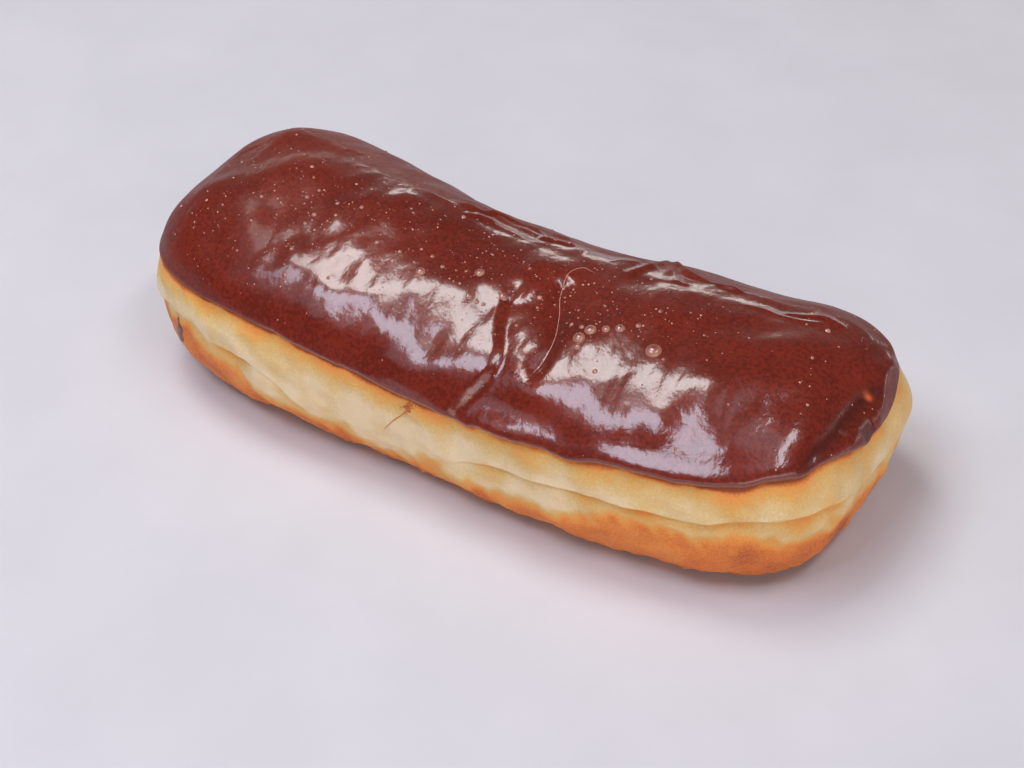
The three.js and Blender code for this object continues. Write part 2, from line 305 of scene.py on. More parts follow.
def ripples(points, span, seed):
    """Smooth random relief of unit strength over points, with waves about one span long."""
    draw = np.random.default_rng(seed)
    direction = draw.normal(size=(RIPPLE_WAVES, 3))
    direction /= np.linalg.norm(direction, axis=1)[:, None]
    turns = direction / (span * draw.uniform(*RIPPLE_LENGTHS, RIPPLE_WAVES))[:, None]
    phase = draw.uniform(0, 2 * math.pi, RIPPLE_WAVES)
    angles = np.asarray(points) @ (2 * math.pi * turns.T) + phase
    return np.sin(angles).sum(axis=-1) * math.sqrt(2 / RIPPLE_WAVES)


def waves_over(points, waves):
    """Total random relief over points, for heights, spans and seeds."""
    return sum(height * ripples(points, span, seed) for height, span, seed in waves)


def smooth_between(before, here, after, beyond, part):
    """Values a part of the way from here to after, on a smooth curve through all four."""
    cubic = 3 * (here - after) + beyond - before
    square = 2 * before - 5 * here + 4 * after - beyond
    return here + part / 2 * (after - before + part * (square + part * cubic))


def round_the_bar(values, fractions):
    """A smooth closed run through values given at equal steps round the bar."""
    place = np.asarray(fractions) * len(values)
    cell = np.floor(place).astype(int)
    part = place - cell
    return smooth_between(*(np.take(values, cell + step, mode="wrap") for step in (-1, 0, 1, 2)), part)


def spline(corners, count):
    """A smooth open line through corners."""
    corners = np.asarray(corners, float)
    padded = np.vstack([2 * corners[0] - corners[1], corners, 2 * corners[-1] - corners[-2]])
    place = np.linspace(0, len(corners) - 1, count)
    cell = np.minimum(place.astype(int), len(corners) - 2)
    part = (place - cell)[:, None]
    return smooth_between(*(padded[cell + step] for step in range(4)), part)


# Sections of the bar
def signed_power(value, power):
    return np.sign(value) * np.abs(value) ** power


def outline_at(fractions):
    """Plan outline at fractions of its length."""
    turn = np.linspace(0, 2 * math.pi, OUTLINE_STEPS)
    cosine = np.cos(turn)
    sine = np.sin(turn)
    squareness = np.where(cosine < 0, LEFT_SQUARENESS, RIGHT_SQUARENESS)
    mean_squareness = (LEFT_SQUARENESS + RIGHT_SQUARENESS) / 2
    along = signed_power(cosine, 2 / squareness)
    waist = 1 - WAIST * np.cos(math.pi * along)
    x = HALF_LENGTH * along
    y = HALF_WIDTH * signed_power(sine, 2 / mean_squareness) * waist
    travel = np.concatenate([[0], np.cumsum(np.hypot(np.diff(x), np.diff(y)))])
    place = np.mod(fractions, 1) * travel[-1]
    return np.interp(place, travel, x), np.interp(place, travel, y), travel[-1]


def crown_height(x):
    along = x / HALF_LENGTH
    dip = CROWN_DIP * np.exp(-((along / CROWN_DIP_REACH) ** 2))
    return HEIGHT * (1 - CROWN_TAPER * along - dip)


def bow_at(x):
    return BOW * ((x / HALF_LENGTH) ** 2 - 0.5)


def rows_at(places, travel, values):
    """Values of each station's own run at its own places."""
    return np.array([np.interp(*row) for row in zip(places, travel, values)])


class Bar:
    """Half sections of the dough at fractions round the bar, walked from the underside to the crown."""

    def __init__(self, fractions):
        self.fractions = np.asarray(fractions, float)
        x, y, self.perimeter = outline_at(self.fractions)
        self.spine_x = np.clip(x, -SPINE_HALF, SPINE_HALF)
        outward = np.column_stack([x - self.spine_x, y])
        reach = np.linalg.norm(outward, axis=1)
        self.outward = outward / reach[:, None]
        leftward = np.clip(-self.outward[:, :1], 0, 1) ** 2
        base_share = BASE_SHARE + (LEFT_BASE_SHARE - BASE_SHARE) * leftward
        self.make_sections(reach[:, None], crown_height(self.spine_x)[:, None], base_share)
        crease_line = self.distance_at(round_the_bar(CREASE_LEVELS, self.fractions))
        self.crease = crease_line + self.wander(CREASE_WANDER)
        depth = round_the_bar(CREASE_DEPTHS, self.fractions) * (1 + self.wander(CREASE_UNEVENNESS))
        self.crease_depth = np.maximum(depth, 0)
        self.edge_line = self.distance_at(round_the_bar(EDGE_LEVELS, self.fractions))
        self.edge = self.edge_line - self.edge_drop()

    def make_sections(self, reach, crown, base_share):
        angle = np.linspace(-math.pi / 2, math.pi / 2, SECTION_STEPS)
        out = np.clip(np.cos(angle), 0, 1)
        up = np.abs(np.sin(angle))
        belly = angle < 0
        belly_share = base_share + (1 - base_share) * out ** (2 / BELLY_SQUARENESS)
        belly_level = WIDEST_LEVEL * (1 - up ** (2 / BELLY_SQUARENESS))
        crown_level = WIDEST_LEVEL + (crown - WIDEST_LEVEL) * up ** (2 / CROWN_SQUARENESS)
        self.out = reach * np.where(belly, belly_share, out ** (2 / CROWN_SQUARENESS))
        self.up = np.where(belly, belly_level, crown_level)
        steps = np.hypot(np.diff(self.out, axis=1), np.diff(self.up, axis=1))
        self.travel = np.pad(np.cumsum(steps, axis=1), ((0, 0), (1, 0)))
        self.length = self.travel[:, -1]
        slope_out = np.gradient(self.out, axis=1)
        slope_up = np.gradient(self.up, axis=1)
        size = np.hypot(slope_out, slope_up)
        self.normal_out = slope_up / size
        self.normal_up = -slope_out / size

    def edge_drop(self):
        """How far the icing's edge hangs below its mean line."""
        drop = self.wander(EDGE_WANDER)
        for fraction, depth, half_width in DRIPS:
            drop = drop + depth * np.exp(-((self.along(fraction) / half_width) ** 2))
        return drop

    def wander(self, waves):
        """Random closed waves round the bar, taken from a circle of radius 1."""
        turn = 2 * math.pi * self.fractions
        return waves_over(np.column_stack([np.cos(turn), np.sin(turn), 0 * turn]), waves)

    def along(self, fraction):
        """Distance round the bar from a fraction to each station."""
        return (np.mod(self.fractions - fraction + 0.5, 1) - 0.5) * self.perimeter

    def distance_at(self, levels):
        return rows_at(levels, self.up, self.travel)

    def points(self, distance, offset):
        """Points at distances along the sections, raised by offsets: arrays of station by ring."""
        out = rows_at(distance, self.travel, self.out)
        up = rows_at(distance, self.travel, self.up)
        out = out + offset * rows_at(distance, self.travel, self.normal_out)
        up = up + offset * rows_at(distance, self.travel, self.normal_up)
        x = self.spine_x[:, None] + self.outward[:, :1] * out
        y = self.outward[:, 1:] * out + bow_at(x)
        return np.stack([x, y, up], axis=-1)


def between(start, stop, count):
    """Even distances after each station's start, up to and including its stop."""
    share = np.arange(1, count + 1) / count
    return start[:, None] + (stop - start)[:, None] * share


# Relief and browning of the dough
def crease_relief(bar, distance):
    below = bar.crease[:, None] - distance
    depth = bar.crease_depth[:, None]
    recess = -depth * np.exp(-np.maximum(below, 0) / CREASE_RECOVERY)
    lip = LIP_SHARE * depth * np.exp(np.minimum(below, 0) / LIP_REACH)
    over = smoothstep(CREASE_MOUTH / 2, -CREASE_MOUTH / 2, below)
    return recess + (lip - recess) * over


def swelling(bar, height, swells):
    """Total rise of swells at heights past the line that their own heights count from."""
    total = 0 * height
    for fraction, level, rise, half_length, half_height in swells:
        along = bar.along(fraction)[:, None] / half_length
        total = total + rise * np.exp(-(along ** 2) - ((height - level) / half_height) ** 2)
    return total


def form_relief(bar, distance):
    """The solids' own lumps and crease."""
    point = bar.points(distance, 0 * distance)
    x, y, z = np.moveaxis(point, -1, 0)
    broad = np.sin((x + z) / LUMP_SPAN) * np.cos(y / LUMP_SPAN)
    narrow = np.sin((x - y) / SMALL_LUMP_SPAN) / 2
    settled = smoothstep(0, BASE_BLEND, distance)
    swells = swelling(bar, z, DOUGH_SWELLS)
    return settled * (LUMP_HEIGHT * (broad + narrow) + crease_relief(bar, distance) + swells)


def browning_and_shade(bar, distance):
    """How browned the dough is, from 0, pale, to 1, with painted shade added near the floor and below
    the crease.
    """
    point = bar.points(distance, 0 * distance)
    level = point[..., 2]
    brown_level = round_the_bar(BROWN_LEVELS, bar.fractions)[:, None]
    bottom = smoothstep(*CRUST_FADE, level - brown_level - waves_over(point, BROWN_WANDER))
    # Darker still towards the floor, partly browned crust and partly painted shade
    crust_and_low_shade = CRUST_TONE * bottom + LOW_BROWN_AND_SHADE_TONE * smoothstep(LOW_BROWN_AND_SHADE_LEVEL, 0, level)
    below_edge = np.maximum(bar.edge[:, None] - distance, 0)
    rim_width = RIM_WIDTH * (1 + waves_over(point, RIM_UNEVENNESS))
    dark = np.exp(-((below_edge / rim_width) ** 2))
    ochre = OCHRE_TONE * np.exp(-((below_edge / OCHRE_WIDTH) ** 2))
    rim = round_the_bar(RIM_BROWNING, bar.fractions)[:, None] * np.maximum(dark, ochre)
    # Golden colour and painted shade below the crease, by its depth
    below_crease = bar.crease[:, None] - distance
    reached = np.exp(-((below_crease / HOLLOW_REACH) ** 2)) * (below_crease > -HOLLOW_LIP)
    crease_gold_and_shade = CREASE_GOLD_AND_SHADE_TONE * bar.crease_depth[:, None] * reached
    tone = np.maximum(np.maximum(crust_and_low_shade, RIM_TONE * rim), crease_gold_and_shade)
    golden = GOLDEN_TONE * smoothstep(*GOLDEN_STRETCH, point[..., 0]) * (1 - tone)
    return np.clip(tone + golden + waves_over(point, BROWN_MOTTLE), 0, 1)


def bed_relief(bar, distance):
    """How far the dough is pressed in under the icing."""
    return -BED * smoothstep(0, BED_REACH, distance - bar.edge[:, None])


def skin_relief(bar, distance):
    """The dough's fine lumps and wrinkles, rougher where it is browned below."""
    point = bar.points(distance, 0 * distance)
    lumps = waves_over(point, SKIN_LUMPS)
    wrinkles = waves_over(point * np.array(WRINKLE_SQUEEZE), SKIN_WRINKLES)
    rough = smoothstep(*ROUGH_LEVELS, point[..., 2]) * smoothstep(0, ROUGH_BLEND, distance)
    crumbs = rough * waves_over(point, SKIN_CRUMBS)
    return smoothstep(0, SKIN_BLEND, distance) * (lumps + wrinkles + crumbs)


# Folds and relief of the icing
def ridge(across, half_width):
    return np.exp(-((across / half_width) ** 2))


def groove(across, half_width):
    return -np.exp(-np.sqrt(across ** 2 + GROOVE_ROUNDING) / half_width)


def step(across, half_width):
    """A drop towards the line's left, which fades out further on."""
    fade = np.exp(-np.maximum(across, 0) / (STEP_FADE * half_width))
    return -smoothstep(-half_width, half_width, across) * fade


# Folds of the icing: profile, line in plan, height and half width
FOLDS = [
    (
        step,
        [(5.5, -6), (7.4, -13.3), (9.5, -18.5), (12.5, -24), (12.6, -28), (9, -33), (5, -38)],
        1.5,
        1.7,
    ),
    (
        groove,
        [(14.4, 0.8), (15.6, -4.5), (18.5, -10), (21, -16.1), (21.7, -21.5), (20.5, -28)],
        1.9,
        1.9,
    ),
    (ridge, [(-20, 11), (-14.5, 10.7), (-11.6, 15), (-4.3, 14.8), (1.9, 13)], 0.7, 0.8),
    (ridge, [(-16, 6.4), (-11.6, 9.2), (-9, 9.5)], 0.4, 0.8),
    (ridge, [(1, 10.4), (4.9, 12.2), (9.5, 12.6)], 0.6, 0.8),
    (ridge, [(24.5, 6.5), (26, 11.8), (27, 17), (27.4, 22)], 0.8, 0.9),
    (ridge, [(27.5, 22), (31, 19.6), (34.8, 17.2), (42, 15.2), (49.5, 15.1)], 0.9, 0.8),
    (ridge, [(29, 18.5), (34, 12), (38, 10.4)], 0.4, 0.8),
    (ridge, [(57, 13), (61.9, 14.5), (65.5, 16.3), (71, 16.4)], 0.6, 0.9),
    (ridge, [(77.2, 7), (77.8, 2.8), (78, -6), (77.3, -15)], -0.3, 2.6),
    (ridge, [(81.8, 4), (81.8, -2), (81.6, -8)], 0.5, 2.0),
    (ridge, [(79.8, 20), (79.9, 12), (80.8, 8), (82, 5), (82.6, 1)], 0.8, 1.3),
    (ridge, [(73.4, 1), (73.9, -8), (73.7, -15), (72.4, -24)], 0.2, 3.2),
]
# Tucks of the icing at the right end, whose depth also darkens its colour there as painted shade
TUCKS = [
    (
        ridge,
        [(80.8, 10.5), (80.2, 5), (79.5, 1), (79.2, -9.4), (78.2, -15), (76.8, -22)],
        -0.7,
        1.25,
    ),
    (ridge, [(82.6, 17), (83.2, 13), (84.4, 9)], -0.6, 1.2),
    (ridge, [(82.9, 0.8), (82.9, -1.4), (82.7, -4.2)], -0.5, 1.6),
]


def crinkle_relief(point):
    """Fine crinkles of the icing along the back."""
    x = point[..., 0]
    y = point[..., 1] - bow_at(x)
    behind = smoothstep(*CRINKLE_FRONT, y) * smoothstep(*CRINKLE_BACK, y) * smoothstep(*CRINKLE_LEFT, x)
    sharp = 1 - np.abs(waves_over(point * np.array(CRINKLE_SQUEEZE), ICING_CRINKLES))
    return CRINKLE_HEIGHT * behind * sharp


def fold_relief(point, folds):
    """Height of folds of the icing over points of the dough."""
    total = np.zeros(point.shape[:-1])
    for profile, corners, height, half_width in folds:
        line = spline(corners, FOLD_STEPS)
        heading = np.gradient(line, axis=0)
        away = np.full(total.shape, np.inf)
        across = np.zeros(total.shape)
        share = np.zeros(total.shape)
        for index, (place, ahead) in enumerate(zip(line, heading)):
            offset = point[..., :2] - place
            distance = np.hypot(offset[..., 0], offset[..., 1])
            closer = distance < away
            left = ahead[0] * offset[..., 1] - ahead[1] * offset[..., 0]
            away = np.where(closer, distance, away)
            across = np.where(closer, np.copysign(distance, left), across)
            share = np.where(closer, index / (len(line) - 1), share)
        ends = smoothstep(0, FOLD_ENDS, share) * smoothstep(1, 1 - FOLD_ENDS, share)
        total += height * ends * profile(across, half_width)
    return total


def swell_relief(bar, distance):
    """Bead along the icing's edge, and swells above it."""
    past_edge = distance - bar.edge[:, None]
    bead_height = round_the_bar(BEAD_HEIGHTS, bar.fractions)[:, None]
    bead = bead_height * np.exp(-(((past_edge - EDGE_ROUND) / BEAD_REACH) ** 2))
    return bead + swelling(bar, distance - bar.edge_line[:, None], ICING_SWELLS)


def icing_relief(bar, distance):
    """Waves, folds and swells of the icing over its even coat."""
    point = bar.points(distance, 0 * distance)
    past_edge = np.maximum(distance - bar.edge[:, None], 0)
    settled = 1 - np.exp(-past_edge / EDGE_BLEND)
    calm = smoothstep(*CALM_STRETCH, point[..., 0])
    inside = smoothstep(*RIPPLE_BLEND, past_edge) * calm ** 2
    waves = calm * waves_over(point, ICING_WAVES) * settled
    small = waves_over(point * np.array(RIPPLE_SQUEEZE), ICING_RIPPLES) * inside
    folds = (fold_relief(point, FOLDS + TUCKS) + crinkle_relief(point)) * settled
    return waves + small + folds + swell_relief(bar, distance)


# Meshes of the dough and the icing
def face_of(*corners):
    """A face through corners, each taken once."""
    return list(dict.fromkeys(int(corner) for corner in corners))


def loft(rings, first_cap, last_cap, cap_index):
    """Corners and faces of a closed solid through rings of equal count, with a cap at either end."""
    count, sides = rings.shape[:2]
    corners = np.vstack([rings.reshape(-1, 3), first_cap, last_cap])
    side = np.arange(sides)
    following = np.roll(side, -1)
    low = (np.arange(count - 1) * sides)[:, None]
    high = low + sides
    quads = np.stack([low + side, low + following, high + following, high + side], axis=-1)
    faces = quads.reshape(-1, 4).tolist()
    top = (count - 1) * sides
    first = count * sides
    last = first + len(first_cap)
    for a, b, cap_a, cap_b in zip(side, following, cap_index, np.roll(cap_index, -1)):
        faces.append(face_of(b, a, first + cap_a, first + cap_b))
        faces.append(face_of(top + a, top + b, last + cap_b, last + cap_a))
    return corners, faces


def spine_caps(bar):
    """For each station the cap place that it meets, and for each cap place one of its stations."""
    half = STATIONS // 2
    moved = np.abs(np.diff(bar.spine_x[:half + 1])) > SAME_PLACE
    of_half = np.concatenate([[0], np.cumsum(moved)])
    station = np.arange(STATIONS)
    cap_index = of_half[np.minimum(station, STATIONS - station)]
    owners = np.array([np.flatnonzero(of_half == place)[0] for place in range(of_half[-1] + 1)])
    return cap_index, owners


class FrameFit:
    """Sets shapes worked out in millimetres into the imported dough's box."""

    def __init__(self, bar):
        distance = dough_distances(bar)
        plain = bar.points(distance, form_relief(bar, distance)).reshape(-1, 3)
        low, high = (np.array(corner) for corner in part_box("dough"))
        own_low = plain.min(axis=0)
        own_high = plain.max(axis=0)
        self.scale = (high - low) / (own_high - own_low)
        self.shift = low - own_low * self.scale

    def __call__(self, corners):
        return np.asarray(corners) * self.scale + self.shift


def add_piece(name, corners, faces, material, replaced=None):
    """A smooth mesh piece from corners in metres, riding on the object's one body."""
    mesh = bpy.data.meshes.new(name)
    mesh.from_pydata(corners.tolist(), [], faces)
    mesh.polygons.foreach_set("use_smooth", np.ones(len(mesh.polygons), bool))
    mesh.materials.append(material)
    mesh.update()
    piece = bpy.data.objects.new(name, mesh)
    bpy.context.scene.collection.objects.link(piece)
    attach(piece, "root")
    if replaced:
        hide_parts(replaced)
    return piece


def set_attribute(piece, name, values):
    attribute = piece.data.attributes.new(name, "FLOAT", "POINT")
    attribute.data.foreach_set("value", np.asarray(values, np.float32).ravel())


def dough_distances(bar):
    mouth = 2 * CREASE_MOUTH
    below = np.maximum(bar.crease - mouth, 1)
    above = bar.crease + mouth
    last = bar.length - SPINE_CLEARANCE
    return np.hstack([
        np.zeros((STATIONS, 1)),
        between(np.zeros(STATIONS), below, BELLY_RINGS),
        between(below, above, CREASE_RINGS),
        between(above, bar.edge, SIDE_RINGS),
        between(bar.edge, last, COVERED_RINGS),
    ])


def dough_surface(bar, distance, offset=0.0):
    relief = form_relief(bar, distance) + skin_relief(bar, distance) + bed_relief(bar, distance)
    point = bar.points(distance, relief + offset)
    point[..., 2] = np.maximum(point[..., 2], 0)
    return point


def make_dough(bar):
    """Corners in millimetres, faces and browned tone of the dough, with its painted shade."""
    distance = dough_distances(bar)
    rings = dough_surface(bar, distance).swapaxes(0, 1)
    cap_index, owners = spine_caps(bar)
    spine = bar.spine_x[owners]
    underside = np.column_stack([spine, bow_at(spine), 0 * spine])
    crown_rows = dough_surface(bar, bar.length[:, None])[owners, 0]
    corners, faces = loft(rings, underside, crown_rows, cap_index)
    brown_and_shade = np.concatenate([
        browning_and_shade(bar, distance).T.ravel(),
        np.full(len(underside), UNDERSIDE_TONE),
        np.full(len(crown_rows), COVERED_TONE),
    ])
    return corners, faces, brown_and_shade


def lining_offset(bar, distance):
    """How far the icing's inner face lies over the plain sections."""
    return form_relief(bar, distance) + bed_relief(bar, distance) - EDGE_SINK


def coat_offset(bar, distance, rounding):
    """How far the icing's outer face lies over the plain sections, never thinner than a film."""
    height = COAT + icing_relief(bar, distance)
    lowest = FILM + bed_relief(bar, distance)
    height = lowest + FILM_SOFTNESS * np.logaddexp(0, (height - lowest) / FILM_SOFTNESS)
    return form_relief(bar, distance) + rounding * height


def make_icing(bar):
    """Corners in millimetres, faces, painted reflection along the edge and painted shade in the tucks
    of the icing.
    """
    last = bar.length - SPINE_CLEARANCE
    inner = between(last, bar.edge, COVERED_RINGS)
    inner = np.hstack([last[:, None], inner])
    turn = np.linspace(0, math.pi / 2, BEAD_RINGS + 1)[1:]
    bead = bar.edge[:, None] + EDGE_ROUND * (1 - np.cos(turn))
    outer = between(bar.edge + EDGE_ROUND, last, COAT_RINGS)
    distance = np.hstack([bead, outer])
    rounding = np.concatenate([np.sin(turn), np.ones(COAT_RINGS)])
    lining = bar.points(inner, lining_offset(bar, inner))
    coat = bar.points(distance, coat_offset(bar, distance, rounding))
    rings = np.concatenate([lining, coat], axis=1).swapaxes(0, 1)
    cap_index, owners = spine_caps(bar)
    crown = bar.length[:, None]
    inside = bar.points(crown, lining_offset(bar, crown))[owners, 0]
    outside = bar.points(crown, coat_offset(bar, crown, 1.0))[owners, 0]
    corners, faces = loft(rings, inside, outside, cap_index)
    whole = np.hstack([inner, distance])
    past_edge = np.maximum(whole - bar.edge[:, None], 0)
    # Depth of the tucks, kept as painted shade for the icing's colour
    tuck_shade = -fold_relief(bar.points(whole, 0 * whole), TUCKS)
    caps = np.zeros(len(inside) + len(outside))
    # Painted reflection along the icing's edge, fading past it
    edge_sheen = np.concatenate([np.exp(-past_edge / EDGE_SHEEN_REACH).T.ravel(), caps])
    tuck_shade = np.concatenate([tuck_shade.T.ravel(), caps])
    return corners, faces, edge_sheen, tuck_shade


def icing_gloss(corners):
    """How glossy the icing is, with duller ends and a duller back."""
    x, y = corners[:, :2].T
    left = smoothstep(*DULL_LEFT, x)
    shift = DULL_BACK_SHIFT * smoothstep(*DULL_BACK_SHIFT_STRETCH, x)
    back = smoothstep(*DULL_BACK, y - bow_at(x) + shift)
    right = sum(share * smoothstep(low, high, x) for share, low, high in DULL_RIGHT)
    return 1 - DULLING * np.maximum(np.maximum(left, back), right)


def icing_painted_glow(corners):
    """Strength of the painted orange glow round its spot."""
    away = np.hypot(*(corners[:, :2] - GLOW_SPOT).T)
    return np.exp(-((away / GLOW_REACH) ** 2))


# Small shapes on the surface
class Ground:
    """The icing's outer face, met from straight above."""

    def __init__(self, corners, faces):
        self.tree = BVHTree.FromPolygons(corners.tolist(), faces)

    def meet(self, x, y):
        place, normal, _, _ = self.tree.ray_cast(Vector((x, y, 2 * HEIGHT)), Vector((0, 0, -1)))
        return place, normal


class Cluster:
    """Small shapes gathered into one mesh, each with a tone of its own."""

    def __init__(self):
        self.corners = []
        self.faces = []
        self.tones = []

    def add(self, corners, faces, tone, last_tone=None):
        """Takes a shape in, its tone running to a last one from its first corner to its last."""
        first = len(self.corners)
        self.corners.extend(corners)
        self.faces.extend([[first + corner for corner in face] for face in faces])
        self.tones.extend(np.linspace(tone, tone if last_tone is None else last_tone, len(corners)))

    def make(self, name, to_frame, material):
        piece = add_piece(name, to_frame(np.array(self.corners)), self.faces, material)
        set_attribute(piece, "tone", self.tones)


def dome(place, normal, radius, height, rings, sides, wobble=0.0, draw=None):
    """Corners and faces of a round cap on a surface, wobbling by a share of its radius."""
    side = normal.orthogonal().normalized()
    other = normal.cross(side)
    corners = [place + normal * height]
    faces = []
    bulge = [1 + wobble * draw.uniform(-1, 1) if draw else 1 for _ in range(sides)]
    for ring in range(1, rings + 1):
        share = math.sin(ring / rings * math.pi / 2)
        level = height * (math.sqrt(max(1 - share * share, 0)) - DOME_SINK * (ring == rings))
        for turn in range(sides):
            angle = 2 * math.pi * turn / sides
            spoke = side * math.cos(angle) + other * math.sin(angle)
            corners.append(place + normal * level + spoke * (radius * share * bulge[turn]))
            here = 1 + (ring - 1) * sides + turn
            following = 1 + (ring - 1) * sides + (turn + 1) % sides
            if ring == 1:
                faces.append([0, here, following])
            else:
                faces.append([here - sides, here, following, following - sides])
    return corners, faces


def thread(path, normals, radii):
    """Corners and faces of a thread along a path over a surface."""
    corners = []
    faces = []
    heading = np.gradient(path, axis=0)
    for index, (place, normal, radius) in enumerate(zip(path, normals, radii)):
        across = np.cross(heading[index], normal)
        across /= np.linalg.norm(across)
        for turn in range(THREAD_SIDES):
            angle = 2 * math.pi * turn / THREAD_SIDES
            corners.append(place + radius * (math.cos(angle) * across + math.sin(angle) * normal))
            if index:
                here = index * THREAD_SIDES + turn
                following = index * THREAD_SIDES + (turn + 1) % THREAD_SIDES
                faces.append([here - THREAD_SIDES, following - THREAD_SIDES, following, here])
    return corners, faces


def tapered(count, radius):
    """Radii of a thread that runs out thinly at both ends."""
    share = np.linspace(0, 1, count)
    return radius * np.clip(np.sqrt(np.sin(math.pi * share)), THREAD_END, 1)


def bubble_density(x, y):
    gathered = (
        math.exp(-((x - middle_x) ** 2 + (y - middle_y) ** 2) / (2 * spread ** 2))
        for middle_x, middle_y, spread in BUBBLE_CLUSTERS
    )
    return BUBBLE_DENSITY + sum(gathered)


def add_bubbles(ground, to_frame):
    draw = np.random.default_rng(BUBBLE_SEED)
    bubbles = Cluster()
    for x, y, radius in BIG_BUBBLES:
        place, normal = ground.meet(x, y)
        shape = dome(place, normal, radius, BIG_BUBBLE_RISE * radius, *BIG_BUBBLE_MESH)
        bubbles.add(*shape, *BIG_BUBBLE_TONES)
    made = 0
    while made < SMALL_BUBBLES:
        x = draw.uniform(-HALF_LENGTH, HALF_LENGTH)
        y = draw.uniform(-HALF_WIDTH - BOW, HALF_WIDTH + BOW)
        place, normal = ground.meet(x, y)
        too_sparse = draw.uniform(0, FULL_DENSITY) > bubble_density(x, y)
        if too_sparse or place is None or normal.z < SMALL_BUBBLE_SLOPE:
            continue
        radius = SMALL_BUBBLE_RADIUS * math.exp(SMALL_BUBBLE_SCATTER * draw.normal())
        shape = dome(place, normal, radius, SMALL_BUBBLE_RISE * radius, *SMALL_BUBBLE_MESH)
        bubbles.add(*shape, draw.uniform(*SMALL_BUBBLE_TONES))
        made += 1
    bubbles.make("icing_bubbles", to_frame, bubble_material())


def add_crack(ground, to_frame):
    line = spline(CRACK, CRACK_STEPS)
    met = [ground.meet(x, y) for x, y in line]
    path = np.array([place for place, _ in met])
    normals = np.array([normal for _, normal in met])
    crack = Cluster()
    crack.add(*thread(path, normals, tapered(len(path), CRACK_RADIUS)), 1.0)
    crack.make("icing_film", to_frame, film_material())


def on_dough(fractions, levels):
    """Points of the dough's face and its outward normals at fractions and levels."""
    places = Bar(fractions)
    distance = places.distance_at(levels)[:, None]
    point = dough_surface(places, distance)[:, 0]
    ahead = dough_surface(places, distance + NORMAL_STEP)[:, 0] - point
    along = np.column_stack([-places.outward[:, 1], places.outward[:, 0], 0 * levels])
    normal = np.cross(along, ahead)
    return point, normal / np.linalg.norm(normal, axis=1)[:, None]


def add_streak(to_frame):
    line = spline(STREAK, STREAK_STEPS)
    path, normals = on_dough(line[:, 0], line[:, 1])
    streak = Cluster()
    streak.add(*thread(path, normals, tapered(len(path), STREAK_RADIUS)), *STREAK_TONES)
    place = Vector(path[BLOB_STEP])
    normal = Vector(normals[BLOB_STEP])
    draw = np.random.default_rng(BLOB_SEED)
    streak.add(*dome(place, normal, BLOB_RADIUS, BLOB_HEIGHT, *BLOB_MESH, BLOB_WOBBLE, draw), BLOB_TONE)
    streak.make("icing_streak", to_frame, syrup_material())


def add_crumbs(to_frame):
    draw = np.random.default_rng(CRUMB_SEED)
    arms = np.array(CRUMB_ARMS)[draw.integers(len(CRUMB_ARMS), size=CRUMBS)]
    share = draw.uniform(size=(CRUMBS, 1))
    astray = draw.normal(size=(CRUMBS, 2)) * CRUMB_SCATTER
    spots = arms[:, 0] + (arms[:, 1] - arms[:, 0]) * share + astray
    crumbs = Cluster()
    for place, normal in zip(*on_dough(spots[:, 0], spots[:, 1])):
        radius = draw.uniform(*CRUMB_RADII)
        height = CRUMB_RISE * radius
        shape = dome(Vector(place), Vector(normal), radius, height, *CRUMB_MESH, CRUMB_WOBBLE, draw)
        crumbs.add(*shape, draw.uniform())
    crumbs.make("dough_crumbs", to_frame, crumb_material())


def add_dab(perimeter, to_frame):
    fraction, level, half_width, half_height, thickness = DAB
    columns, rows = DAB_STEPS
    across = np.linspace(-DAB_MARGIN, DAB_MARGIN, columns)
    rise = np.linspace(-DAB_MARGIN, DAB_MARGIN, rows)
    patch = Bar(fraction + across * half_width / perimeter)
    distance = patch.distance_at(np.full(columns, level))[:, None] + rise * half_height
    flat = np.stack(np.broadcast_arrays(across[:, None] * half_width, rise * half_height, 0.0), axis=-1)
    away = np.hypot(across[:, None], rise) + waves_over(flat, DAB_WAVES)
    lift = thickness * (np.sqrt(np.clip(1 - away ** 2, 0, 1)) - DAB_SINK * (away > 1))
    corners = dough_surface(patch, distance, lift).reshape(-1, 3)
    faces = []
    for column in range(columns - 1):
        for row in range(rows - 1):
            here = column * rows + row
            faces.append([here, here + rows, here + rows + 1, here + 1])
    add_piece("icing_smear", to_frame(corners), faces, dab_material(), "icing_dab")


